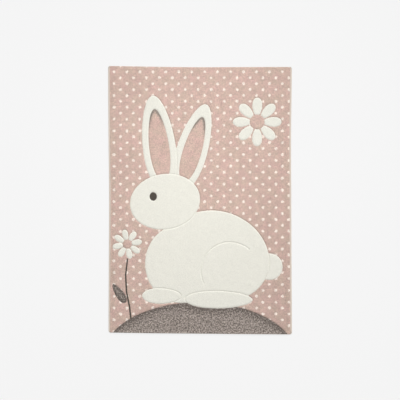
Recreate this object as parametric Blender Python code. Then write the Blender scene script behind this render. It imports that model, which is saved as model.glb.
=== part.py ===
"""A flat woven pile rug for a child's room, with a rabbit and two daisies carved into its pile.

Metres, +Z up. The rug lies on z = 0 with its long side along Y, and the origin is on the floor under its
middle. The panel is one woven piece: a thin base, pile that stands on it, and grooves that are carved into
the pile round each figure. A sewn yarn binding grips the base along each long side, and the pile stops just
short of the two ends.
"""

import math

import bmesh
import bpy
from mathutils import Vector

# Driving dimensions
RUG_WIDTH = 1.165
RUG_LENGTH = 1.702
RUG_HEIGHT = 0.0120
BASE_TOP = 0.0036
CORNER_RADIUS = 0.008
GAP = 0.0003

# The binding is a C that grips a tongue of the base
BINDING_WIDTH = 0.0130
BINDING_HEIGHT = 0.0054
BINDING_OUTER_WALL = 0.0026
TONGUE_BOTTOM = 0.0017
BINDING_END_INSET = 0.0010

# The end lip is bare base that shows past the pile
END_LIP = 0.0036

# The carved groove is a V in the pile's top, each one a hair deeper than the last. Its cutter is a bar of
# diamond section whose middle lies a little above the top
GROOVE_DEPTH = 0.0034
CUTTER_LIFT = 0.0004
GROOVE_DEEPENING = 0.00002
OUTLINE_STEP = 0.018
RUN_OVERLAP = 0.0012
GROOVE_OVERRUN = 0.030

# How many points the rug's outline has along each side, each end and each corner
SIDE_STEPS = 20
END_STEPS = 14
CORNER_STEPS = 4

# How far each edge lies outside the straight outline, at even stations: the long sides from bottom to top,
# the ends from left to right
EDGE_BOWS = {
    "left": (0.0011, -0.0004, -0.0023, 0.0016, 0.0040),
    "right": (0.0039, 0.0013, -0.0002, -0.0015, 0.0033),
    "bottom": (-0.0063, -0.0021, 0.0005, 0.0036, 0.0053),
    "top": (0.0053, 0.0006, -0.0025, -0.0014, -0.0006),
}

# Panel section from the floor up: inset from the long sides, inset from the ends, height
PANEL_SECTION = (
    (BINDING_WIDTH + GAP, 0.0012, 0.0),
    (BINDING_WIDTH + GAP, 0.0008, TONGUE_BOTTOM),
    (BINDING_OUTER_WALL + GAP, 0.0, TONGUE_BOTTOM),
    (BINDING_OUTER_WALL + GAP, 0.0003, BASE_TOP),
    (BINDING_WIDTH + GAP, END_LIP, BASE_TOP),
    (BINDING_WIDTH + GAP, END_LIP, BINDING_HEIGHT + 2 * GAP),
    (BINDING_WIDTH - 0.0006, END_LIP - 0.0007, 0.0074),
    (BINDING_WIDTH - 0.0008, END_LIP - 0.0009, 0.0090),
    (BINDING_WIDTH + 0.0004, END_LIP + 0.0002, 0.0108),
    (BINDING_WIDTH + 0.0040, END_LIP + 0.0030, RUG_HEIGHT),
)

# Figures from the back to the front: name, group, whose figures merge into one outline, centre x and y,
# half width, half height, turn in degrees, and how much narrower the figure's top is than its middle
FIGURES = (
    ("hill", "hill", 0.000, -1.010, 0.620, 0.360, 0, 0.0),
    ("leaf", "leaf", -0.515, -0.600, 0.026, 0.070, 35, 0.3),
    ("tail", "tail", 0.440, -0.420, 0.085, 0.085, 0, 0.0),
    ("ear_back", "ear_back", -0.045, 0.335, 0.098, 0.290, -17, 0.14),
    ("ear_back_lining", "ear_back_lining", -0.045, 0.325, 0.058, 0.215, -17, 0.14),
    ("ear_front", "ear_front", -0.262, 0.362, 0.105, 0.305, 7, 0.14),
    ("ear_front_lining", "ear_front_lining", -0.261, 0.350, 0.063, 0.230, 7, 0.14),
    ("body", "trunk", 0.112, -0.353, 0.335, 0.282, -22, 0.0),
    ("chest", "trunk", -0.121, -0.406, 0.230, 0.250, 0, 0.0),
    ("head", "head", -0.225, -0.010, 0.226, 0.176, 12, 0.0),
    ("front_foot", "front_foot", -0.245, -0.612, 0.050, 0.125, 90, -0.1),
    ("hind_foot", "hind_foot", 0.118, -0.632, 0.056, 0.215, 90, -0.1),
    ("eye", "eye", -0.300, 0.022, 0.023, 0.027, 0, 0.0),
)

# Daisies: name, centre x and y, reach of the petals, turn in degrees
DAISIES = (
    ("daisy_large", 0.365, 0.500, 0.155, 0),
    ("daisy_small", -0.465, -0.285, 0.095, 12),
)
PETALS = 8
PETAL_CENTRE = 0.62
PETAL_HALF_WIDTH = 0.20
PETAL_HALF_LENGTH = 0.38
PETAL_TAPER = -0.2
DAISY_CENTRE = 0.30

# The haunch is a carved line inside the body: centre x and y, radius, first and last angle
HAUNCH = (0.190, -0.450, 0.185, 50, 205)

PINK = (0.651, 0.485, 0.423, 1.0)
GREIGE = (0.680, 0.580, 0.500, 1.0)


def clear_scene():
    for obj in list(bpy.data.objects):
        bpy.data.objects.remove(obj, do_unlink=True)


def collection(name):
    made = bpy.data.collections.new(name)
    bpy.context.scene.collection.children.link(made)
    return made


def cloth_material(name, colour):
    material = bpy.data.materials.new(name)
    material.use_nodes = True
    shader = material.node_tree.nodes["Principled BSDF"]
    shader.inputs["Base Color"].default_value = colour
    shader.inputs["Roughness"].default_value = 0.95
    shader.inputs["Metallic"].default_value = 0.0
    return material


def bow(edge, along):
    """How far an edge lies outside the straight outline at this place along it, from -1 to 1."""
    stations = EDGE_BOWS[edge]
    last = len(stations) - 1
    place = min(max((along + 1) / 2, 0.0), 1.0) * last
    first = min(int(place), last - 1)
    t = place - first
    a, b, c, d = (stations[min(max(first + k, 0), last)] for k in (-1, 0, 1, 2))
    return 0.5 * (
        2 * b + (c - a) * t + (2 * a - 5 * b + 4 * c - d) * t**2 + (3 * b - a - 3 * c + d) * t**3
    )


def laid(x, y):
    """Where a point of the straight rug lies on the real one, whose edges bow a few millimetres."""
    across, along = 2 * x / RUG_WIDTH, 2 * y / RUG_LENGTH
    shift_x = bow("right", along) * (1 + across) / 2 - bow("left", along) * (1 - across) / 2
    shift_y = bow("top", across) * (1 + along) / 2 - bow("bottom", across) * (1 - along) / 2
    return x + shift_x, y + shift_y


def rug_outline(side_inset, end_inset):
    """The rug's outline as laid, anticlockwise from above, moved in by the two insets."""
    half_x = RUG_WIDTH / 2 - side_inset - CORNER_RADIUS
    half_y = RUG_LENGTH / 2 - end_inset - CORNER_RADIUS
    corners = ((-1, -1, 180), (1, -1, 270), (1, 1, 0), (-1, 1, 90))
    points = []
    for k, (sx, sy, start) in enumerate(corners):
        centre = Vector((sx * half_x, sy * half_y))
        for step in range(CORNER_STEPS + 1):
            angle = math.radians(start + 90 * step / CORNER_STEPS)
            points.append(centre + CORNER_RADIUS * Vector((math.cos(angle), math.sin(angle))))
        next_sx, next_sy, _ = corners[(k + 1) % 4]
        leave = points[-1]
        reach = Vector(((next_sx - sx) * half_x, (next_sy - sy) * half_y))
        steps = SIDE_STEPS if sx == next_sx else END_STEPS
        points += [leave + reach * step / steps for step in range(1, steps)]
    return [laid(p.x, p.y) for p in points]


def egg_point(figure, angle):
    """The point of a figure's outline at this angle, on the straight rug."""
    _, _, x, y, half_width, half_height, turn, taper = figure
    across = half_width * math.cos(angle) * (1 - taper * math.sin(angle))
    up = half_height * math.sin(angle)
    c, s = math.cos(math.radians(turn)), math.sin(math.radians(turn))
    return Vector((x + across * c - up * s, y + across * s + up * c))


def holds(figure, point):
    """Whether the point lies inside the figure."""
    _, _, x, y, half_width, half_height, turn, taper = figure
    c, s = math.cos(math.radians(turn)), math.sin(math.radians(turn))
    dx, dy = point.x - x, point.y - y
    across, up = (dx * c + dy * s) / half_width, (dy * c - dx * s) / half_height
    return abs(up) < 1 and abs(across) < math.sqrt(1 - up * up) * (1 - taper * up)


def all_figures():
    """The figures of the table, then each daisy's petals and centre."""
    figures = list(FIGURES)
    for name, x, y, reach, turn in DAISIES:
        for k in range(PETALS):
            degrees = 360 * k / PETALS + turn
            out = PETAL_CENTRE * reach
            petal_x = x + out * math.cos(math.radians(degrees))
            petal_y = y + out * math.sin(math.radians(degrees))
            sizes = (PETAL_HALF_WIDTH * reach, PETAL_HALF_LENGTH * reach, degrees - 90, PETAL_TAPER)
            petal = f"{name}_petal_{k + 1}"
            figures.append((petal, petal, petal_x, petal_y, *sizes))
        centre = f"{name}_centre"
        figures.append((centre, centre, x, y, DAISY_CENTRE * reach, DAISY_CENTRE * reach, 0, 0.0))
    return figures


def on_rug(point):
    return (
        abs(point.x) < RUG_WIDTH / 2 + GROOVE_OVERRUN and abs(point.y) < RUG_LENGTH / 2 + GROOVE_OVERRUN
    )


def crossing(figure, covers, hidden, shown):
    """Where an outline passes under what covers it, and a little way on into the next groove."""
    for _ in range(14):
        middle = (hidden + shown) / 2
        if any(holds(other, egg_point(figure, middle)) for other in covers):
            hidden = middle
        else:
            shown = middle
    here = egg_point(figure, hidden)
    back = egg_point(figure, shown + math.copysign(0.01, shown - hidden))
    return here + (here - back).normalized() * RUN_OVERLAP


def visible_runs(figures, index):
    """The stretches of a figure's outline that nothing in front of it covers: (points, closed) for each."""
    figure = figures[index]
    covers = [
        other
        for k, other in enumerate(figures)
        if k != index and (k > index or other[1] == figure[1])
    ]
    half_width, half_height = figure[4:6]
    count = max(14, round(math.pi * (half_width + half_height) / OUTLINE_STEP))
    step = 2 * math.pi / count
    points = [egg_point(figure, step * k) for k in range(count)]
    shows = [on_rug(p) and not any(holds(other, p) for other in covers) for p in points]
    if all(shows):
        return [(points, True)]
    if not any(shows):
        return []
    start = next(k for k in range(count) if shows[k] and not shows[k - 1])
    runs, run = [], []
    for k in range(start, start + count + 1):
        here = k % count
        if shows[here] and k < start + count:
            run = run or [crossing(figure, covers, step * (k - 1), step * k)]
            run.append(points[here])
        elif run:
            runs.append((run + [crossing(figure, covers, step * k, step * (k - 1))], False))
            run = []
    return runs


def haunch_run():
    x, y, radius, first, last = HAUNCH
    steps = round(math.radians(last - first) * radius / OUTLINE_STEP)
    angles = [math.radians(first + (last - first) * k / steps) for k in range(steps + 1)]
    return [Vector((x + radius * math.cos(a), y + radius * math.sin(a))) for a in angles]


def mesh_from_curve(obj, target):
    """The curve object as a closed mesh object of the same name, and the curve is removed."""
    bpy.context.view_layer.update()
    evaluated = obj.evaluated_get(bpy.context.evaluated_depsgraph_get())
    mesh = bpy.data.meshes.new_from_object(evaluated)
    name, place = obj.name, obj.matrix_world.copy()
    bpy.data.objects.remove(obj, do_unlink=True)
    welded = bmesh.new()
    welded.from_mesh(mesh)
    bmesh.ops.remove_doubles(welded, verts=welded.verts, dist=1e-6)
    bmesh.ops.recalc_face_normals(welded, faces=welded.faces)
    welded.to_mesh(mesh)
    welded.free()
    made = bpy.data.objects.new(name, mesh)
    made.matrix_world = place
    target.objects.link(made)
    return made


def groove_cutter(name, number, points, closed, cutters):
    """A bar of diamond section along a run of outline, with its lower edge at the groove's foot."""
    curve = bpy.data.curves.new(name, "CURVE")
    curve.dimensions = "3D"
    curve.twist_mode = "Z_UP"
    curve.bevel_depth = GROOVE_DEPTH + CUTTER_LIFT + number * GROOVE_DEEPENING
    curve.bevel_resolution = 0
    curve.use_fill_caps = not closed
    spline = curve.splines.new("POLY")
    spline.points.add(len(points) - 1)
    for place, point in zip(spline.points, points):
        place.co = (*laid(point.x, point.y), RUG_HEIGHT + CUTTER_LIFT, 1.0)
    spline.use_cyclic_u = closed
    obj = bpy.data.objects.new(name, curve)
    cutters.objects.link(obj)
    cutter = mesh_from_curve(obj, cutters)
    cutter.hide_render = True
    cutter.display_type = "WIRE"


def carving_cutters(cutters):
    figures = all_figures()
    for index, figure in enumerate(figures):
        for part, (points, closed) in enumerate(visible_runs(figures, index)):
            groove_cutter(f"cut_{figure[0]}_{part}", index, points, closed, cutters)
    groove_cutter("cut_haunch", len(figures), haunch_run(), False, cutters)


def rug_panel(parts, cutters):
    """The woven base and its pile: the section lofted round the outline, with the figures carved into it."""
    shell = bmesh.new()
    rings = [
        [shell.verts.new((x, y, height)) for x, y in rug_outline(side_inset, end_inset)]
        for side_inset, end_inset, height in PANEL_SECTION
    ]
    for lower, upper in zip(rings, rings[1:]):
        for k in range(len(lower)):
            after = (k + 1) % len(lower)
            shell.faces.new((lower[k], lower[after], upper[after], upper[k]))
    shell.faces.new(list(reversed(rings[0])))
    shell.faces.new(rings[-1])
    bmesh.ops.remove_doubles(shell, verts=shell.verts, dist=1e-6)
    mesh = bpy.data.meshes.new("rug_panel")
    shell.to_mesh(mesh)
    shell.free()
    mesh.materials.append(cloth_material("pile_pink", PINK))
    panel = bpy.data.objects.new("rug_panel", mesh)
    parts.objects.link(panel)
    carve = panel.modifiers.new("carve", "BOOLEAN")
    carve.operation = "DIFFERENCE"
    carve.operand_type = "COLLECTION"
    carve.collection = cutters
    return panel


def binding_section():
    """The binding's C, anticlockwise from the rug's lower end: distances in from the side, and heights."""
    width, height, wall = BINDING_WIDTH, BINDING_HEIGHT, BINDING_OUTER_WALL
    slot_bottom, slot_top = TONGUE_BOTTOM - GAP, BASE_TOP + GAP
    outside = [
        (width, 0.0),
        (0.28 * width, 0.0),
        (0.10 * width, 0.12 * height),
        (0.0, 0.38 * height),
        (0.0, 0.62 * height),
        (0.10 * width, 0.88 * height),
        (0.28 * width, height),
        (width, height),
    ]
    slot = [(width, slot_top), (wall, slot_top), (wall, slot_bottom), (width, slot_bottom)]
    return outside + slot


def edge_binding(name, side, parts):
    """The yarn binding of the left side, -1, or the right one, 1: its section run along the bowed edge."""
    body = bmesh.new()
    stations = [
        (2 * k / SIDE_STEPS - 1) * (RUG_LENGTH / 2 - CORNER_RADIUS - BINDING_END_INSET)
        for k in range(SIDE_STEPS + 1)
    ]
    rings = []
    for y in stations:
        edge_x, edge_y = laid(side * RUG_WIDTH / 2, y)
        rings.append(
            [
                body.verts.new((edge_x - side * inward, edge_y, height))
                for inward, height in binding_section()
            ]
        )
    for near, far in zip(rings, rings[1:]):
        for k in range(len(near)):
            after = (k + 1) % len(near)
            body.faces.new((near[k], near[after], far[after], far[k]))
    body.faces.new(rings[0])
    body.faces.new(list(reversed(rings[-1])))
    bmesh.ops.recalc_face_normals(body, faces=body.faces)
    mesh = bpy.data.meshes.new(name)
    body.to_mesh(mesh)
    body.free()
    mesh.materials.append(cloth_material(f"{name}_yarn", GREIGE))
    binding = bpy.data.objects.new(name, mesh)
    parts.objects.link(binding)
    return binding


def main():
    clear_scene()
    parts = collection("rabbit_rug")
    cutters = collection("carving_cutters")
    carving_cutters(cutters)
    rug_panel(parts, cutters)
    edge_binding("binding_left", -1, parts)
    edge_binding("binding_right", 1, parts)


main()
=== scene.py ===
"""The dressed scene of a flat woven pile rug for a child's room, on a pale floor, seen from straight above.

Metres, +Z up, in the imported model's frame: the rug's long side lies along Y and its back is on z = 0.
"""

import math

import bpy
import numpy as np
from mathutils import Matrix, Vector
from mathutils.geometry import delaunay_2d_cdt
from mathutils.kdtree import KDTree


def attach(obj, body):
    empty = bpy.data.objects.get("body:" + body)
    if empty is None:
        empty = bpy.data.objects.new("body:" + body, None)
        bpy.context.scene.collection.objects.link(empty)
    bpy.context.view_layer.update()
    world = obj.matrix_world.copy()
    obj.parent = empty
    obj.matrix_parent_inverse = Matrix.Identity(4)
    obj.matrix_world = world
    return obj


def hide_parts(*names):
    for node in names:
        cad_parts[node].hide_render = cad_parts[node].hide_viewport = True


# Driving dimensions
RUG_WIDTH = 1.165
RUG_LENGTH = 1.702
RUG_HEIGHT = 0.0120
BASE_TOP = 0.0036
CORNER_RADIUS = 0.008
GAP = 0.0003

BINDING_WIDTH = 0.0130
BINDING_HEIGHT = 0.0054
BINDING_OUTER_WALL = 0.0026
TONGUE_BOTTOM = 0.0017
BINDING_END_INSET = 0.0010

# The turns of yarn on a binding: their pitch, how far they stand out, how much that differs from turn to
# turn, how far each slants in pitches, and the mesh's steps along each
WRAP_PITCH = 0.0035
WRAP_RISE = 0.00045
WRAP_LOOSE = (0.75, 1.15)
WRAP_SLANT = 0.8
WRAP_STEPS = 5

END_LIP = 0.0036

GROOVE_DEPTH = 0.0036
GROOVE_HALF_WIDTH = 0.0054

# The pile's mesh: its lattice's spacing, its rows' spacing and its points' stray as shares of that, the
# spacing of the outlines' points, of the points that a carved line is worked out from and of its mesh's
# points, and how far those stay from the rim
LATTICE = 0.0056
LATTICE_ROW = 0.866
LATTICE_STRAY = 0.16
OUTLINE_STEP = 0.0045
FINE_STEP = 0.001
CARVED_SPACING = 0.0022
CARVED_FROM_RIM = 0.002

# How uneven the pile's top is: from point to point, in slow waves, their cell, and the most that it rises
TUFT_BUMP = 0.00022
WAVE_BUMP = 0.00030
WAVE_CELL = 0.02
HIGHEST_BUMP = 0.0004

# How far each edge lies outside the straight outline, at even stations: the long sides from bottom to top,
# the ends from left to right
EDGE_BOWS = {
    "left": (0.0011, -0.0004, -0.0023, 0.0016, 0.0040),
    "right": (0.0039, 0.0013, -0.0002, -0.0015, 0.0033),
    "bottom": (-0.0063, -0.0021, 0.0005, 0.0036, 0.0053),
    "top": (0.0053, 0.0006, -0.0025, -0.0014, -0.0006),
}

# Panel section from the floor up: inset from the long sides, inset from the ends, height
BASE_SECTION = (
    (BINDING_WIDTH + GAP, 0.0012, 0.0),
    (BINDING_WIDTH + GAP, 0.0008, TONGUE_BOTTOM),
    (BINDING_OUTER_WALL + GAP, 0.0, TONGUE_BOTTOM),
    (BINDING_OUTER_WALL + GAP, 0.0003, BASE_TOP),
    (BINDING_WIDTH + GAP, END_LIP, BASE_TOP),
)
PILE_SECTION = (
    (BINDING_WIDTH + GAP, END_LIP, 0.0060),
    (BINDING_WIDTH - 0.0006, END_LIP - 0.0007, 0.0074),
    (BINDING_WIDTH - 0.0009, END_LIP - 0.0010, 0.0090),
    (BINDING_WIDTH - 0.0004, END_LIP - 0.0006, 0.0105),
    (BINDING_WIDTH + 0.0008, END_LIP + 0.0004, 0.0115),
    (BINDING_WIDTH + 0.0030, END_LIP + 0.0022, 0.0119),
    (BINDING_WIDTH + 0.0065, END_LIP + 0.0060, RUG_HEIGHT),
)

# The yarn colours of the figures, from the back of the shader's layers to the front
FIGURE_COLOURS = ("grey", "cream", "lining", "dark")

# Figures from the back to the front: name, colour, group, whose figures merge into one outline, centre x
# and y, half width, half height, turn in degrees, and how much narrower the top is than the middle
FIGURES = (
    ("hill", "grey", "hill", 0.000, -1.010, 0.620, 0.360, 0, 0.0),
    ("leaf", "grey", "leaf", -0.515, -0.600, 0.026, 0.070, 35, 0.3),
    ("tail", "cream", "tail", 0.440, -0.420, 0.085, 0.085, 0, 0.0),
    ("ear_back", "cream", "ear_back", -0.045, 0.335, 0.098, 0.290, -17, 0.14),
    ("ear_back_lining", "lining", "ear_back_lining", -0.045, 0.325, 0.058, 0.215, -17, 0.14),
    ("ear_front", "cream", "ear_front", -0.262, 0.362, 0.105, 0.305, 7, 0.14),
    ("ear_front_lining", "lining", "ear_front_lining", -0.261, 0.350, 0.063, 0.230, 7, 0.14),
    ("body", "cream", "trunk", 0.112, -0.353, 0.335, 0.282, -22, 0.0),
    ("chest", "cream", "trunk", -0.121, -0.406, 0.230, 0.250, 0, 0.0),
    ("head", "cream", "head", -0.225, -0.010, 0.226, 0.176, 12, 0.0),
    ("front_foot", "cream", "front_foot", -0.245, -0.612, 0.050, 0.125, 90, -0.1),
    ("hind_foot", "cream", "hind_foot", 0.118, -0.632, 0.056, 0.215, 90, -0.1),
    ("eye", "dark", "eye", -0.300, 0.022, 0.023, 0.027, 0, 0.0),
)

# Daisies: name, centre x and y, reach of the petals, turn in degrees
DAISIES = (
    ("daisy_large", 0.365, 0.500, 0.155, 0),
    ("daisy_small", -0.465, -0.285, 0.095, 12),
)
PETALS = 8
PETAL_CENTRE = 0.62
PETAL_HALF_WIDTH = 0.20
PETAL_HALF_LENGTH = 0.38
PETAL_TAPER = -0.2
DAISY_CENTRE = 0.30

# The haunch is a carved line inside the body: centre x and y, radius, first and last angle
HAUNCH = (0.190, -0.450, 0.185, 50, 205)

# The small daisy's stem is drawn in dark yarn: points down its middle, and its width
STEM = ((-0.463, -0.380), (-0.474, -0.480), (-0.468, -0.590), (-0.448, -0.690), (-0.440, -0.760))
STEM_WIDTH = 0.010

# The linings' grey shading, woven grey that also stands as painted shade below the cream above them: how
# far it reaches in from their edge, how far up a lining it starts, and over how much of the lining's half
# height it grows
LINING_SHADE_REACH = 0.040
LINING_SHADE_START = 0.25
LINING_SHADE_GROWTH = 0.6

# The dots stand in half-drop rows: pitch along a row, from row to row, and the first dot's place
DOT_PITCH = 0.0825
DOT_ROW = 0.0376
DOT_START = (-0.5479, RUG_LENGTH / 2 - 0.0338)
DOT_RADIUS = 0.0092

# How wide a dot's edge is, and how far its outline wanders
DOT_EDGE = 0.0016
DOT_WANDER = 0.010

# The width of a tuft, and how far from a figure's edge its distances are kept
TUFT = 0.0031
FIELD_REACH = 0.15

# Painted shade for the light's falloff: where along the rug it starts and over what length it grows, how
# much it darkens the bottom end and how that differs across, and how much it darkens the sides
FALLOFF_START = 0.35
FALLOFF_LENGTH = 0.95
FALLOFF_DOWN = 0.05
FALLOFF_DOWN_SLANT = 0.05
FALLOFF_ASIDE = 0.05 / 0.34

# Painted light and shade near the long sides, as factors at these insets from the side, fitted to the
# edges' look: a painted paler line where binding and pile meet, stronger on the left where it offsets the
# pile's cast shadow, and a painted shade strip beside it on the left
SIDE_INSETS = (0.0020, 0.0050, 0.0085, 0.0120, 0.0150, 0.0185, 0.0230, 0.0300, 0.0380)
LEFT_PAINTED_LIGHT = (1.00, 0.95, 1.00, 1.12, 1.14, 0.99, 0.945, 0.920, 1.00)
RIGHT_PAINTED_LIGHT = (1.00, 0.98, 0.97, 1.01, 1.03, 1.00, 1.00, 1.00, 1.00)

# The shade beside a cream figure, in a carved line: its reach in millimetres, and how dark it is
CARVED_SHADE_REACH = 9
CARVED_SHADE = 0.09

# Painted light at the bottom end, offsetting the shade there: how far in it starts, how fast it grows, and
# how pale it makes the yarn
END_LIGHT_START = 0.022
END_LIGHT_GROWTH = 70.0
END_LIGHT_GAIN = 0.20

# The pile's noise tones: mottles, blotches, streaks along the warp, and large patches. Stretch, scale,
# detail, roughness and spread
TONES = (
    ((1.0, 1.0, 0.0), 115.0, 2.0, 0.6, 0.80),
    ((1.0, 1.0, 0.0), 24.0, 3.0, 0.6, 0.41),
    ((85.0, 2.0, 0.0), 1.0, 2.0, 0.5, 0.10),
    ((1.0, 0.7, 0.0), 5.5, 3.0, 0.6, 0.18),
)

# The binding's yarn is darker at its two ends: how long its ends are, how fast they darken, how much
YARN_END = 0.016
YARN_END_GROWTH = 140.0
YARN_END_SHADE = 0.16

# Suns: name, direction, spread in degrees, strength
SUNS = (
    ("sun", (-0.28, -0.73, -0.62), 14, 1.95),
    ("overhead", (0.0, 0.0, -1.0), 50, 0.36),
)

# The soft light above the rug: name, place, size, power
SOFT_KEY = ("soft_key", (0.0, 0.40, 1.5), 0.9, 6.0)

# The world's strength at the horizon and above: height of the direction, strength
WORLD_LOW = (0.08, 0.90)
WORLD_HIGH = (0.45, 0.245)

CAMERA_LENS = 84.8
CAMERA_PLACE = (-0.0003, 0.0011, 6.012)

COLOURS = {
    "ground": (218, 185, 175),
    "ground_beige": (213, 188, 173),
    "dot": (251, 236, 225),
    "cream": (241, 239, 228),
    "dark": (84, 77, 70),
    "grey": (150, 140, 131),
    "grey_dark": (101, 92, 86),
    "grey_light": (204, 191, 182),
    "backing": (216, 205, 192),
    "backing_dark": (188, 177, 163),
    "yarn": (235, 223, 211),
    "yarn_dark": (209, 196, 183),
}


def linear(name):
    """One of the colours, which are in display values, as the shader's linear one."""
    parts = [c / 255 for c in COLOURS[name]]
    return tuple(c / 12.92 if c <= 0.04045 else ((c + 0.055) / 1.055) ** 2.4 for c in parts) + (1.0,)


def bow(edge, along):
    """How far an edge lies outside the straight outline at these places along it, from -1 to 1."""
    stations = np.array(EDGE_BOWS[edge])
    last = len(stations) - 1
    place = np.clip((np.asarray(along) + 1) / 2, 0, 1) * last
    first = np.minimum(place.astype(int), last - 1)
    t = place - first
    a, b, c, d = (stations[np.clip(first + k, 0, last)] for k in (-1, 0, 1, 2))
    return 0.5 * (2 * b + (c - a) * t + (2 * a - 5 * b + 4 * c - d) * t**2 + (3 * b - a - 3 * c + d) * t**3)


def laid(x, y):
    """Where points of the straight rug lie on the real one, whose edges bow a few millimetres."""
    across, along = 2 * x / RUG_WIDTH, 2 * y / RUG_LENGTH
    shift_x = bow("right", along) * (1 + across) / 2 - bow("left", along) * (1 - across) / 2
    shift_y = bow("top", across) * (1 + along) / 2 - bow("bottom", across) * (1 - along) / 2
    return x + shift_x, y + shift_y


def rug_outline(side_inset, end_inset, side_steps, end_steps, corner_steps=5):
    """The straight rug's outline, anticlockwise from above, moved in by the two insets."""
    half_x = RUG_WIDTH / 2 - side_inset - CORNER_RADIUS
    half_y = RUG_LENGTH / 2 - end_inset - CORNER_RADIUS
    corners = ((-1, -1, 180), (1, -1, 270), (1, 1, 0), (-1, 1, 90))
    points = []
    for k, (sx, sy, start) in enumerate(corners):
        for step in range(corner_steps + 1):
            angle = math.radians(start + 90 * step / corner_steps)
            corner_x = sx * half_x + CORNER_RADIUS * math.cos(angle)
            corner_y = sy * half_y + CORNER_RADIUS * math.sin(angle)
            points.append((corner_x, corner_y))
        next_sx, next_sy, _ = corners[(k + 1) % 4]
        leave = points[-1]
        reach_x, reach_y = (next_sx - sx) * half_x, (next_sy - sy) * half_y
        steps = side_steps if sx == next_sx else end_steps
        for step in range(1, steps):
            points.append((leave[0] + reach_x * step / steps, leave[1] + reach_y * step / steps))
    return np.array(points)


def all_figures():
    """The figures of the table, then each daisy's petals and centre."""
    figures = list(FIGURES)
    for name, x, y, reach, turn in DAISIES:
        for k in range(PETALS):
            degrees = 360 * k / PETALS + turn
            petal_x = x + PETAL_CENTRE * reach * math.cos(math.radians(degrees))
            petal_y = y + PETAL_CENTRE * reach * math.sin(math.radians(degrees))
            sizes = (PETAL_HALF_WIDTH * reach, PETAL_HALF_LENGTH * reach, degrees - 90, PETAL_TAPER)
            petal = f"{name}_petal_{k + 1}"
            figures.append((petal, "cream", petal, petal_x, petal_y, *sizes))
        centre = f"{name}_centre"
        figures.append((centre, "lining", centre, x, y, DAISY_CENTRE * reach, DAISY_CENTRE * reach, 0, 0.0))
    return figures


def depth_in(figure, points):
    """How far inside a figure's outline each point lies, exact at the outline and negative outside it."""
    x, y, half_width, half_height, turn, taper = figure[3:]
    c, s = math.cos(math.radians(turn)), math.sin(math.radians(turn))
    dx, dy = points[:, 0] - x, points[:, 1] - y
    across, up = dx * c + dy * s, dy * c - dx * s
    narrow = np.maximum(1 - taper * up / half_height, 0.3)
    u, v = across / (half_width * narrow), up / half_height
    r = np.maximum(np.hypot(u, v), 1e-6)
    slope_across = u / (half_width * narrow) / r
    slope_up = (u * u * taper / (half_height * narrow) + v / half_height) / r
    return (1 - r) / np.hypot(slope_across, slope_up)


def egg_points(figure):
    """Points round a figure's outline, about FINE_STEP apart."""
    x, y, half_width, half_height, turn, taper = figure[3:]
    count = int(math.pi * (half_width + half_height) / FINE_STEP)
    angle = np.linspace(0, 2 * math.pi, count, endpoint=False)
    across = half_width * np.cos(angle) * (1 - taper * np.sin(angle))
    up = half_height * np.sin(angle)
    c, s = math.cos(math.radians(turn)), math.sin(math.radians(turn))
    return np.stack((x + across * c - up * s, y + across * s + up * c), axis=1)


def carved_runs(figures):
    """The outlines that nothing in front covers, and the haunch, as runs of points FINE_STEP apart."""
    runs = []
    for index, figure in enumerate(figures):
        covers = [f for k, f in enumerate(figures) if k != index and (k > index or f[2] == figure[2])]
        points = egg_points(figure)
        shows = (np.abs(points[:, 0]) < RUG_WIDTH / 2) & (np.abs(points[:, 1]) < RUG_LENGTH / 2)
        for other in covers:
            shows &= depth_in(other, points) <= 0
        if shows.all():
            runs.append(np.vstack((points, points[:1])))
            continue
        start = next((k for k in range(len(points)) if shows[k] and not shows[k - 1]), None)
        if start is None:
            continue
        points, shows = np.roll(points, -start, axis=0), np.roll(shows, -start)
        breaks = np.flatnonzero(np.diff(shows.astype(int))) + 1
        for piece, seen in zip(np.split(points, breaks), np.split(shows, breaks)):
            if seen[0] and len(piece) > 3:
                runs.append(piece)
    x, y, radius, first, last = HAUNCH
    steps = int(math.radians(last - first) * radius / FINE_STEP)
    angle = np.radians(np.linspace(first, last, steps))
    runs.append(np.stack((x + radius * np.cos(angle), y + radius * np.sin(angle)), axis=1))
    return runs


def tree_of(points):
    tree = KDTree(len(points))
    for k, (x, y) in enumerate(points):
        tree.insert((x, y, 0.0), k)
    tree.balance()
    return tree


def distance_to(tree, points):
    return np.array([tree.find((x, y, 0.0))[2] for x, y in points])


def inside_rim(points, side_inset, end_inset):
    """How far inside the rounded outline with these insets each point lies."""
    half = np.array((RUG_WIDTH / 2 - side_inset, RUG_LENGTH / 2 - end_inset)) - CORNER_RADIUS
    q = np.abs(points) - half
    outside = np.hypot(np.maximum(q[:, 0], 0), np.maximum(q[:, 1], 0))
    return CORNER_RADIUS - outside - np.minimum(np.maximum(q[:, 0], q[:, 1]), 0)


def thinned(points, least):
    """The points, but only the first in each square of this side."""
    _, keep = np.unique(np.floor(points / least).astype(int), axis=0, return_index=True)
    return points[np.sort(keep)]


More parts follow.
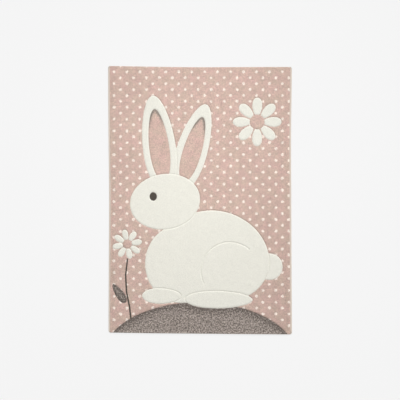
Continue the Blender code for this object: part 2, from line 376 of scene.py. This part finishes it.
def pile_points(runs, tree, rng):
    """Points over the pile's top: along and beside each carved line, and an even lattice between them."""
    side_inset, end_inset, _ = PILE_SECTION[-1]
    beside = []
    middles = []
    for run in runs:
        along = run[:: max(1, round(OUTLINE_STEP / FINE_STEP))]
        middles.append(along)
        way = np.gradient(along, axis=0)
        way /= np.maximum(np.hypot(way[:, 0], way[:, 1]), 1e-9)[:, None]
        out = np.stack((way[:, 1], -way[:, 0]), axis=1)
        for offset in (0.5, 1.0):
            for side in (-1, 1):
                moved = along + side * offset * GROOVE_HALF_WIDTH * out
                beside.append(moved[distance_to(tree, moved) > 0.9 * offset * GROOVE_HALF_WIDTH])
    middles = thinned(np.vstack(middles), CARVED_SPACING)
    beside = thinned(np.vstack(beside), CARVED_SPACING)
    rows = int(RUG_LENGTH / (LATTICE * LATTICE_ROW)) + 1
    columns = int(RUG_WIDTH / LATTICE) + 1
    row, column = np.meshgrid(np.arange(rows), np.arange(columns), indexing="ij")
    x = (column + 0.5 * (row % 2) - columns / 2) * LATTICE
    y = (row - rows / 2) * LATTICE * LATTICE_ROW
    lattice = np.stack((x.ravel(), y.ravel()), axis=1)
    lattice += rng.uniform(-LATTICE_STRAY, LATTICE_STRAY, lattice.shape) * LATTICE
    lattice = lattice[inside_rim(lattice, side_inset, end_inset) > 0.7 * LATTICE]
    lattice = lattice[distance_to(tree, lattice) > GROOVE_HALF_WIDTH + 0.5 * LATTICE]
    carved = np.vstack((middles, beside))
    carved = carved[inside_rim(carved, side_inset, end_inset) > CARVED_FROM_RIM]
    return np.vstack((carved, lattice))


def triangles_over(rim, points):
    """The rim filled with triangles through the points: places, triangles, and the rim's own numbers."""
    given = [Vector(p) for p in np.vstack((rim, points))]
    places, _, faces, origins, _, _ = delaunay_2d_cdt(given, [], [list(range(len(rim)))], 1, 1e-7)
    number = {old: new for new, olds in enumerate(origins) for old in olds}
    places = np.array([(p.x, p.y) for p in places])
    faces = np.array(faces)
    a, b, c = (places[faces[:, k]] for k in range(3))
    turned = np.cross(b - a, c - a) < 0
    faces[turned] = faces[turned][:, ::-1]
    return places, faces, [number[k] for k in range(len(rim))]


def side_painted_light(x):
    """The factor of painted light and shade on the yarn at these places across the straight rug."""
    inset = RUG_WIDTH / 2 - np.abs(x)
    left, right = (np.interp(inset, SIDE_INSETS, edge_light) for edge_light in (LEFT_PAINTED_LIGHT, RIGHT_PAINTED_LIGHT))
    return np.where(x < 0, left, right)


def smooth_noise(points, cell, rng):
    """Even, smooth noise from -1 to 1, from random values on a square grid of this cell."""
    low = points.min(axis=0) - cell
    size = np.ceil((points.max(axis=0) - low) / cell).astype(int) + 2
    grid = rng.uniform(-1, 1, size)
    place = (points - low) / cell
    first = np.floor(place).astype(int)
    t = place - first
    t = t * t * (3 - 2 * t)
    i, j = first[:, 0], first[:, 1]
    lower = grid[i, j] * (1 - t[:, 0]) + grid[i + 1, j] * t[:, 0]
    upper = grid[i, j + 1] * (1 - t[:, 0]) + grid[i + 1, j + 1] * t[:, 0]
    return lower * (1 - t[:, 1]) + upper * t[:, 1]


def groove_at(distance):
    """How deep the carving is at this distance from a carved line."""
    t = np.clip(distance / GROOVE_HALF_WIDTH, 0, 1)
    return GROOVE_DEPTH * (1 - t) ** 1.5


def stem_depth(points):
    """How far inside the stem's drawn line each point lies."""
    stations = np.array(STEM)
    best = np.full(len(points), 1e3)
    for a, b in zip(stations, stations[1:]):
        way = b - a
        t = np.clip(((points - a) @ way) / (way @ way), 0, 1)
        best = np.minimum(best, np.hypot(*(points - a - t[:, None] * way).T))
    return STEM_WIDTH / 2 - best


def colour_fields(figures, points):
    """For each yarn colour but the ground's, how many millimetres inside it each point lies."""
    fields = {colour: np.full(len(points), -1.0) for colour in FIGURE_COLOURS}

    def lay(colour, depth):
        for other in fields:
            if other == colour:
                fields[other] = np.maximum(fields[other], depth)
            else:
                fields[other] = np.minimum(fields[other], -depth)

    for figure in figures:
        # The stem passes under the leaf
        if figure[0] == "leaf":
            lay("dark", stem_depth(points))
        lay(figure[1], depth_in(figure, points))
    return {colour: np.clip(depth, -FIELD_REACH, FIELD_REACH) * 1000 for colour, depth in fields.items()}


def lining_shade(figures, points):
    """How much grey yarn is mixed into a lining, from 0 to 1: most round its upper end, fading inward,
    partly as painted shade below the cream.
    """
    shade = np.zeros(len(points))
    for figure in figures:
        name, colour, _, x, y, half_width, half_height, turn, _ = figure
        if colour != "lining" or "ear" not in name:
            continue
        depth = depth_in(figure, points)
        c, s = math.cos(math.radians(turn)), math.sin(math.radians(turn))
        up = ((points[:, 1] - y) * c - (points[:, 0] - x) * s) / half_height
        near = np.clip(1 - depth / LINING_SHADE_REACH, 0, 1) ** 1.5
        high = np.clip((up - LINING_SHADE_START) / LINING_SHADE_GROWTH, 0, 1)
        shade = np.maximum(shade, near * high * (depth > -0.004))
    return shade


def carve(flat, height, tree, rng):
    """Cut the carved lines into the pile's heights, and make its top a little uneven."""
    pile = height > BASE_TOP + 0.001
    carved = groove_at(distance_to(tree, flat[pile]))
    bumps = TUFT_BUMP * rng.uniform(-1, 1, pile.sum())
    bumps += WAVE_BUMP * smooth_noise(flat[pile], WAVE_CELL, rng)
    share = (height[pile] - BASE_TOP) / (RUG_HEIGHT - BASE_TOP)
    height[pile] -= (carved - np.minimum(bumps, HIGHEST_BUMP)) * share


def in_scene(name, data, place=(0.0, 0.0, 0.0)):
    """A new object of this data, put into the scene."""
    thing = bpy.data.objects.new(name, data)
    thing.location = place
    bpy.context.scene.collection.objects.link(thing)
    return thing


def carry(mesh, name, values):
    """Let each of the mesh's points carry a number, which its material reads."""
    mesh.attributes.new(name, "FLOAT", "POINT").data.foreach_set("value", values)


def rug_panel():
    """The woven base and its carved pile, as one closed mesh."""
    rng = np.random.default_rng(11)
    figures = all_figures()
    runs = carved_runs(figures)
    tree = tree_of(np.vstack(runs))
    steps = (round(RUG_LENGTH / LATTICE), round(RUG_WIDTH / LATTICE))
    rings = [(rug_outline(s, e, *steps), z) for s, e, z in BASE_SECTION + PILE_SECTION]
    rim, _ = rings[-1]
    top, top_faces, rim_numbers = triangles_over(rim, pile_points(runs, tree, rng))
    lower_rim, _ = rings[0]
    sparse = [(x, y) for x in np.arange(-0.54, 0.5401, 0.06) for y in np.arange(-0.80, 0.8001, 0.064)]
    back, back_faces, back_numbers = triangles_over(lower_rim, np.array(sparse))

    count = len(rim)
    flat = [top, back] + [ring for ring, _ in rings[1:-1]]
    starts = np.cumsum([0] + [len(part) for part in flat])
    flat = np.vstack(flat)
    height = np.zeros(len(flat))
    height[: len(top)] = RUG_HEIGHT
    for k, (_, z) in enumerate(rings[1:-1]):
        height[starts[2 + k] : starts[3 + k]] = z

    carve(flat, height, tree, rng)

    ring_numbers = [starts[1] + np.array(back_numbers)]
    ring_numbers += [starts[2 + k] + np.arange(count) for k in range(len(rings) - 2)]
    ring_numbers.append(np.array(rim_numbers))
    walls = []
    for lower, upper in zip(ring_numbers, ring_numbers[1:]):
        lower_next, upper_next = np.roll(lower, -1), np.roll(upper, -1)
        walls.append(np.stack((lower, lower_next, upper_next, upper), axis=1))

    x, y = laid(flat[:, 0], flat[:, 1])
    wall_faces = np.vstack(walls).tolist()
    faces = top_faces.tolist() + (back_faces[:, ::-1] + starts[1]).tolist() + wall_faces
    mesh = bpy.data.meshes.new("rug_pile")
    mesh.from_pydata(np.stack((x, y, height), axis=1).tolist(), [], faces)
    for colour, depth in colour_fields(figures, flat).items():
        carry(mesh, colour, depth)
    carry(mesh, "shade", lining_shade(figures, flat))
    # The painted light and shade near the long sides
    carry(mesh, "side_painted_light", side_painted_light(flat[:, 0]))
    base_walls = (len(BASE_SECTION) - 1) * count
    first_wall = len(top_faces) + len(back_faces)
    slots = np.zeros(len(faces), dtype=np.int32)
    slots[len(top_faces) : first_wall + base_walls] = 1
    mesh.polygons.foreach_set("material_index", slots)
    mesh.polygons.foreach_set("use_smooth", slots == 0)
    mesh.update()
    mesh.materials.append(pile_material())
    mesh.materials.append(backing_material())
    return in_scene("rug_pile", mesh)


def edge_binding(name, side, yarn):
    """The yarn wound over the left side, -1, or the right one, 1: the binding's C, ribbed at each turn."""
    rng = np.random.default_rng(5 + side)
    width, tall, wall = BINDING_WIDTH, BINDING_HEIGHT, BINDING_OUTER_WALL
    slot_bottom, slot_top = TONGUE_BOTTOM - GAP, BASE_TOP + GAP
    outside = np.array(
        [
            (width, 0.0),
            (0.55 * width, 0.0),
            (0.28 * width, 0.0),
            (0.10 * width, 0.12 * tall),
            (0.02 * width, 0.36 * tall),
            (0.02 * width, 0.64 * tall),
            (0.10 * width, 0.88 * tall),
            (0.28 * width, tall),
            (0.55 * width, tall),
            (width, tall),
        ]
    )
    # The way that each of these points moves out where the yarn is fullest
    out = np.array(
        [
            (0.0, -1.0),
            (0.0, -1.0),
            (-0.3, -0.95),
            (-0.75, -0.66),
            (-1.0, -0.2),
            (-1.0, 0.2),
            (-0.75, 0.66),
            (-0.3, 0.95),
            (0.0, 1.0),
            (0.0, 1.0),
        ]
    )
    slot = np.array([(width, slot_top), (wall, slot_top), (wall, slot_bottom), (width, slot_bottom)])
    half = RUG_LENGTH / 2 - CORNER_RADIUS - BINDING_END_INSET
    turns = int(2 * half / WRAP_PITCH)
    count = turns * WRAP_STEPS
    slant = np.linspace(0.0, WRAP_SLANT * WRAP_PITCH, len(outside))
    loose = rng.uniform(*WRAP_LOOSE, turns + 1)
    places, edge_light = [], []
    for k in range(count + 1):
        phase = (k % WRAP_STEPS) / WRAP_STEPS
        rise = WRAP_RISE * loose[min(k // WRAP_STEPS, turns)] * abs(math.sin(math.pi * phase)) ** 0.6
        section = outside + out * rise
        section[:, 1] = np.maximum(section[:, 1], 0.0)
        y = -half + 2 * half * k / count
        ease = min(1.0, (count - k) / WRAP_STEPS, k / WRAP_STEPS)
        ys = np.concatenate((y + ease * (slant - slant.mean()), np.full(len(slot), y)))
        section = np.vstack((section, slot))
        edge_x, edge_y = laid(np.full(len(ys), side * RUG_WIDTH / 2), ys)
        places.append(np.stack((edge_x - side * section[:, 0], edge_y, section[:, 1]), axis=1))
        # The painted light and shade near the long side, at each point of the section
        edge_light.append(side_painted_light(side * (RUG_WIDTH / 2 - section[:, 0])))
    size = len(outside) + len(slot)
    faces = []
    for k in range(count):
        near, far = k * size, (k + 1) * size
        for j in range(size):
            after = (j + 1) % size
            faces.append((near + j, near + after, far + after, far + j))
    faces.append(tuple(range(size)))
    faces.append(tuple(reversed(range(count * size, (count + 1) * size))))
    if side > 0:
        faces = [tuple(reversed(face)) for face in faces]
    mesh = bpy.data.meshes.new(name)
    mesh.from_pydata(np.vstack(places).tolist(), [], faces)
    mesh.polygons.foreach_set("use_smooth", [True] * (len(faces) - 2) + [False, False])
    carry(mesh, "side_painted_light", np.concatenate(edge_light))
    mesh.update()
    mesh.materials.append(yarn)
    return in_scene(name, mesh)


class Nodes:
    """Short words for adding nodes to a material's tree."""

    def __init__(self, name):
        self.material = bpy.data.materials.new(name)
        self.material.use_nodes = True
        self.tree = self.material.node_tree
        self.shader = self.tree.nodes["Principled BSDF"]

    def add(self, kind, **settings):
        node = self.tree.nodes.new(kind)
        for key, value in settings.items():
            setattr(node, key, value)
        return node

    def put(self, socket, value):
        if isinstance(value, bpy.types.NodeSocket):
            self.tree.links.new(value, socket)
        else:
            socket.default_value = value

    def math(self, operation, a, b=0.0, clamp=False):
        node = self.add("ShaderNodeMath", operation=operation, use_clamp=clamp)
        self.put(node.inputs[0], a)
        self.put(node.inputs[1], b)
        return node.outputs[0]

    def vector(self, operation, a, b=(0.0, 0.0, 0.0)):
        node = self.add("ShaderNodeVectorMath", operation=operation)
        self.put(node.inputs[0], a)
        self.put(node.inputs[1], b)
        return node.outputs["Value" if operation in ("LENGTH", "DISTANCE") else "Vector"]

    def noise(self, where, scale, detail=2.0, roughness=0.5):
        node = self.add("ShaderNodeTexNoise")
        self.put(node.inputs["Vector"], where)
        node.inputs["Scale"].default_value = scale
        node.inputs["Detail"].default_value = detail
        node.inputs["Roughness"].default_value = roughness
        return node.outputs["Fac"]

    def mix(self, factor, a, b):
        node = self.add("ShaderNodeMix", data_type="RGBA")
        self.put(node.inputs[0], factor)
        self.put(node.inputs[6], a)
        self.put(node.inputs[7], b)
        return node.outputs[2]

    def gain(self, colour, factor):
        """The colour times a number."""
        node = self.add("ShaderNodeVectorMath", operation="SCALE")
        self.put(node.inputs[0], colour)
        self.put(node.inputs["Scale"], factor)
        return node.outputs["Vector"]

    def spread(self, value, gain, middle=0.5, clamp=False):
        """A value about a half, as one that is spread out by the gain and lies about the middle."""
        from_half = self.math("SUBTRACT", value, 0.5)
        return self.math("ADD", self.math("MULTIPLY", from_half, gain), middle, clamp)

    def split(self, where):
        """The X, Y and Z of a vector."""
        node = self.add("ShaderNodeSeparateXYZ")
        self.put(node.inputs[0], where)
        return node.outputs

    def attribute(self, name):
        """A number that the mesh's points carry."""
        node = self.add("ShaderNodeAttribute", attribute_type="GEOMETRY", attribute_name=name)
        return node.outputs["Fac"]

    def surface(self, colour, roughness, specular, sheen=0.0):
        """Give the shader its colour and its constants."""
        self.put(self.shader.inputs["Base Color"], colour)
        self.shader.inputs["Roughness"].default_value = roughness
        self.shader.inputs["Specular IOR Level"].default_value = specular
        self.shader.inputs["Sheen Weight"].default_value = sheen

    def bump(self, height, strength, distance):
        """Make the shader's surface look uneven by a height."""
        node = self.add("ShaderNodeBump")
        node.inputs["Strength"].default_value = strength
        node.inputs["Distance"].default_value = distance
        self.put(node.inputs["Height"], height)
        self.put(self.shader.inputs["Normal"], node.outputs["Normal"])

    def around_one(self, value, spread):
        """A value from 0 to 1 as a factor about one, at most spread away from it."""
        return self.math("ADD", self.math("MULTIPLY", value, 2 * spread), 1 - spread)


def painted_falloff(n, x, y):
    """Painted shade on the pink yarn as a factor, one in the middle of the rug's upper half, less below and
    aside.
    """
    down = n.math("MULTIPLY", n.math("SUBTRACT", FALLOFF_START, y), 1 / FALLOFF_LENGTH, clamp=True)
    down = n.math("MULTIPLY", down, n.math("ADD", n.math("MULTIPLY", x, FALLOFF_DOWN_SLANT), FALLOFF_DOWN))
    aside = n.math("MULTIPLY", n.math("POWER", n.math("ABSOLUTE", x), 2.0), FALLOFF_ASIDE)
    return n.math("SUBTRACT", n.math("SUBTRACT", 1.0, down), aside)


def dot_mask(n, place):
    """One on the ground's dots and nought between them."""
    reaches = []
    for shift_x, shift_y in ((0.0, 0.0), (DOT_PITCH / 2, DOT_ROW)):
        start = (DOT_START[0] + shift_x, DOT_START[1] - shift_y, 0.0)
        from_start = n.vector("SUBTRACT", place, start)
        cell = n.vector("DIVIDE", from_start, (DOT_PITCH, 2 * DOT_ROW, 1.0))
        cell = n.vector("ADD", cell, (0.5, 0.5, 0.0))
        cell = n.vector("SUBTRACT", n.vector("FRACTION", cell), (0.5, 0.5, 0.0))
        reaches.append(n.vector("LENGTH", n.vector("MULTIPLY", cell, (DOT_PITCH, 2 * DOT_ROW, 0.0))))
    nearest = n.math("MINIMUM", *reaches)
    inside = n.math("MULTIPLY", n.math("SUBTRACT", DOT_RADIUS, nearest), 1 / DOT_EDGE)
    return n.math("ADD", inside, 0.5, clamp=True)


def pile_material():
    """Cut pile in five yarn colours: tufts, a melange in the grey, dots on the ground and painted shade."""
    n = Nodes("pile")
    where = n.add("ShaderNodeTexCoord").outputs["Object"]
    across = n.vector("MULTIPLY", where, (1.0, 1.0, 0.0))
    split = n.split(where)

    tufts = n.add("ShaderNodeTexVoronoi", voronoi_dimensions="2D", feature="F1")
    n.put(tufts.inputs["Vector"], across)
    tufts.inputs["Scale"].default_value = 1 / TUFT
    tufts.inputs["Randomness"].default_value = 0.8
    each = n.add("ShaderNodeSeparateColor")
    n.put(each.inputs[0], tufts.outputs["Color"])
    tone, other_tone = each.outputs[0], each.outputs[1]

    # The dots, at the tufts' own places so that their edges step from tuft to tuft
    wander = n.add("ShaderNodeTexNoise")
    n.put(wander.inputs["Vector"], across)
    wander.inputs["Scale"].default_value = 55.0
    wander.inputs["Detail"].default_value = 1.0
    drift = n.vector("SUBTRACT", wander.outputs["Color"], (0.5, 0.5, 0.5))
    drift = n.vector("MULTIPLY", drift, (DOT_WANDER, DOT_WANDER, 0.0))
    dots = dot_mask(n, n.vector("ADD", tufts.outputs["Position"], drift))

    # Painted shade: the pink yarn is darker towards the bottom end and, a little, towards the sides
    falloff_shade = painted_falloff(n, split["X"], split["Y"])
    tint = n.spread(n.noise(across, 15.0, 3.0, 0.6), 3.4, clamp=True)
    ground = n.gain(n.mix(tint, linear("ground"), linear("ground_beige")), falloff_shade)
    colour = n.mix(dots, ground, linear("dot"))

    # The figures, whose edges also step a little from tuft to tuft
    fields = {name: n.attribute(name) for name in FIGURE_COLOURS}
    step = n.math("MULTIPLY", n.math("SUBTRACT", tone, 0.5), 1.6)
    shown = {
        name: n.math("ADD", n.math("MULTIPLY", n.math("ADD", field, step), 1.1), 0.5, clamp=True)
        for name, field in fields.items()
    }

    # The grey is a melange of two yarns, with more of the dark one towards its outline
    coarse = n.spread(n.noise(across, 105.0, 2.0, 0.6), 5.6, 0.44)
    melange = n.math("ADD", n.math("MULTIPLY", coarse, 0.5), n.math("MULTIPLY", other_tone, 0.5))
    inward = n.math("MULTIPLY", fields["grey"], 1 / 110, clamp=True)
    inward = n.math("MULTIPLY", n.math("SUBTRACT", n.math("POWER", inward, 0.6), 0.72), 0.8)
    light_share = n.math("ADD", melange, inward, clamp=True)
    grey = n.mix(light_share, linear("grey_dark"), linear("grey_light"))

    # The linings are pink, with grey yarn mixed in round their upper ends, partly as painted shade below
    # the cream
    speckle = n.math("MULTIPLY", n.attribute("shade"), 1.5)
    speckle = n.math("ADD", speckle, n.math("MULTIPLY", melange, 0.5))
    speckle = n.math("MULTIPLY", n.math("SUBTRACT", speckle, 0.62), 1.6, clamp=True)
    lining = n.mix(speckle, ground, linear("grey"))
    yarns = (grey, linear("cream"), lining, linear("dark"))
    for name, yarn in zip(FIGURE_COLOURS, yarns):
        colour = n.mix(shown[name], colour, yarn)

    # Near the long sides every yarn takes its painted light and shade: paler where binding and pile meet,
    # and a painted shade strip beside that on the left
    colour = n.gain(colour, n.attribute("side_painted_light"))

    # The yarn beside a cream figure stands in the carved line's shade
    beside = n.math("ADD", n.math("MULTIPLY", fields["cream"], 1 / CARVED_SHADE_REACH), 1.0, clamp=True)
    beside = n.math("MULTIPLY", beside, n.math("SUBTRACT", 1.0, shown["cream"]))
    colour = n.gain(colour, n.math("SUBTRACT", 1.0, n.math("MULTIPLY", beside, CARVED_SHADE)))

    # Painted light at the bottom end: the yarn is paler there, offsetting the shade on that end
    to_end = n.math("SUBTRACT", END_LIGHT_START - RUG_LENGTH / 2, split["Y"])
    painted_end_light = n.math("MULTIPLY", n.math("MULTIPLY", to_end, END_LIGHT_GROWTH, clamp=True), END_LIGHT_GAIN)
    colour = n.gain(colour, n.math("ADD", 1.0, painted_end_light))

    # The tone differs from tuft to tuft and from place to place, and far less in the cream yarn
    plain = n.math("SUBTRACT", 1.0, n.math("MULTIPLY", shown["cream"], 0.82))
    shift = n.math("MULTIPLY", n.math("SUBTRACT", tone, 0.5), 0.18)
    for stretch, scale, detail, roughness, spread in TONES:
        value = n.noise(n.vector("MULTIPLY", where, stretch), scale, detail, roughness)
        shift = n.math("ADD", shift, n.math("MULTIPLY", n.math("SUBTRACT", value, 0.5), spread))
    colour = n.gain(colour, n.math("ADD", 1.0, n.math("MULTIPLY", shift, plain)))
    fibre = n.noise(where, 900.0, 2.0, 0.6)
    colour = n.gain(colour, n.around_one(fibre, 0.08))

    # Each tuft is a small dome; its colour has painted shade where it meets the next, a little lighter at
    # its middle
    from_middle = n.math("POWER", tufts.outputs["Distance"], 2.0)
    colour = n.gain(colour, n.math("SUBTRACT", 1.06, n.math("MULTIPLY", from_middle, 0.45)))
    n.surface(colour, 0.92, 0.25, sheen=0.25)
    n.shader.inputs["Sheen Roughness"].default_value = 0.45

    dome = n.math("SUBTRACT", 1.0, from_middle)
    lumps = n.noise(across, 160.0, 1.0)
    height = n.math("ADD", n.math("MULTIPLY", dome, 0.6), n.math("MULTIPLY", fibre, 0.35))
    n.bump(n.math("ADD", height, n.math("MULTIPLY", lumps, 0.6)), 0.6, 0.0011)
    return n.material


def backing_material():
    """The woven base: a plain weave of undyed yarn."""
    n = Nodes("woven_base")
    where = n.add("ShaderNodeTexCoord").outputs["Object"]
    waves = []
    for direction, scale in (("X", 72.0), ("Y", 62.0)):
        wave = n.add("ShaderNodeTexWave", wave_type="BANDS", bands_direction=direction)
        n.put(wave.inputs["Vector"], where)
        wave.inputs["Scale"].default_value = scale
        wave.inputs["Distortion"].default_value = 0.4
        wave.inputs["Detail"].default_value = 1.0
        wave.inputs["Detail Scale"].default_value = 3.0
        waves.append(wave.outputs["Fac"])
    weave = n.math("MAXIMUM", *waves)
    slub = n.noise(n.vector("MULTIPLY", where, (40.0, 8.0, 8.0)), 8.0, 3.0)
    colour = n.mix(weave, linear("backing_dark"), linear("backing"))
    colour = n.gain(colour, n.around_one(slub, 0.12))
    n.surface(colour, 0.9, 0.2)
    n.bump(n.math("ADD", weave, n.math("MULTIPLY", slub, 0.5)), 0.7, 0.0006)
    return n.material


def yarn_material():
    """Matt spun yarn with a fine twist."""
    n = Nodes("wound_yarn")
    where = n.add("ShaderNodeTexCoord").outputs["Object"]
    heather = n.noise(n.vector("MULTIPLY", where, (1.0, 0.35, 1.0)), 420.0, 3.0, 0.6)
    turn_by_turn = n.noise(n.vector("MULTIPLY", where, (0.0, 1.0, 0.0)), 210.0, 1.0)
    colour = n.mix(heather, linear("yarn_dark"), linear("yarn"))
    colour = n.gain(colour, n.around_one(turn_by_turn, 0.06))
    # Painted light and shade near the long side, paler where binding and pile meet
    colour = n.gain(colour, n.attribute("side_painted_light"))

    # The yarn is darker at its two ends
    past = n.math("SUBTRACT", n.math("ABSOLUTE", n.split(where)["Y"]), RUG_LENGTH / 2 - YARN_END)
    end_darkening = n.math("MULTIPLY", n.math("MULTIPLY", past, YARN_END_GROWTH, clamp=True), YARN_END_SHADE)
    colour = n.gain(colour, n.math("SUBTRACT", 1.0, end_darkening))
    n.surface(colour, 0.88, 0.25, sheen=0.15)
    n.bump(heather, 0.6, 0.0003)
    return n.material


def floor():
    """A plain pale floor that keeps an even tone."""
    mesh = bpy.data.meshes.new("floor")
    mesh.from_pydata([(-60, -60, 0), (60, -60, 0), (60, 60, 0), (-60, 60, 0)], [], [(0, 1, 2, 3)])
    ground = in_scene("floor", mesh, (0.0, 0.0, -0.0004))
    n = Nodes("floor")
    n.surface((0.14, 0.14, 0.14, 1.0), 1.0, 0.0)
    n.shader.inputs["Emission Color"].default_value = (1.0, 1.0, 1.0, 1.0)
    n.shader.inputs["Emission Strength"].default_value = 0.79
    mesh.materials.append(n.material)


def area_light(name, place, size, power):
    """A round soft light that shines straight down."""
    data = bpy.data.lights.new(name, "AREA")
    data.shape = "DISK"
    data.size = size
    data.energy = power
    in_scene(name, data, place)


def sun_light(name, way, spread, power):
    """A distant light that shines this way."""
    data = bpy.data.lights.new(name, "SUN")
    data.energy = power
    data.angle = math.radians(spread)
    light = in_scene(name, data)
    light.rotation_euler = Vector(way).to_track_quat("-Z", "Y").to_euler()


def pale_world():
    """A soft white surround, brightest round the horizon."""
    world = bpy.data.worlds.new("studio")
    world.use_nodes = True
    nodes, links = world.node_tree.nodes, world.node_tree.links
    way = nodes.new("ShaderNodeTexCoord")
    split = nodes.new("ShaderNodeSeparateXYZ")
    fade = nodes.new("ShaderNodeMapRange")
    fade.inputs["From Min"].default_value = WORLD_LOW[0]
    fade.inputs["From Max"].default_value = WORLD_HIGH[0]
    fade.inputs["To Min"].default_value = WORLD_LOW[1]
    fade.inputs["To Max"].default_value = WORLD_HIGH[1]
    links.new(way.outputs["Generated"], split.inputs[0])
    links.new(split.outputs["Z"], fade.inputs["Value"])
    links.new(fade.outputs["Result"], nodes["Background"].inputs["Strength"])
    nodes["Background"].inputs["Color"].default_value = (1.0, 1.0, 1.0, 1.0)
    return world


def studio():
    """The lights, the surround and the camera, which looks straight down."""
    scene = bpy.context.scene
    scene.view_settings.view_transform = "Standard"
    scene.world = pale_world()
    for sun in SUNS:
        sun_light(*sun)
    area_light(*SOFT_KEY)
    data = bpy.data.cameras.new("camera")
    data.sensor_width = 36.0
    data.lens = CAMERA_LENS
    scene.camera = in_scene("camera", data, CAMERA_PLACE)


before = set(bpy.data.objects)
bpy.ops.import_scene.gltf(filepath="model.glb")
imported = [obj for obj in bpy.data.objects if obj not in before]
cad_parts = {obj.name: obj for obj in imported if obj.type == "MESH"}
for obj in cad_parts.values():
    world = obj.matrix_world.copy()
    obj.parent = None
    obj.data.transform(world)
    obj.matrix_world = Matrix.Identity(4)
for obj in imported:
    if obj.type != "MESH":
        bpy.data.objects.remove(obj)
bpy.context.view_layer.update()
floor()
studio()
rug = rug_panel()
yarn = yarn_material()
bindings = [edge_binding("yarn_binding_left", -1, yarn), edge_binding("yarn_binding_right", 1, yarn)]
for piece, node, slot in (
    (rug, "rug_panel", "pile"),
    (bindings[0], "binding_left", "binding_yarn"),
    (bindings[1], "binding_right", "binding_yarn"),
):
    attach(piece, "root")
    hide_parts(node)

bpy.context.view_layer.update()
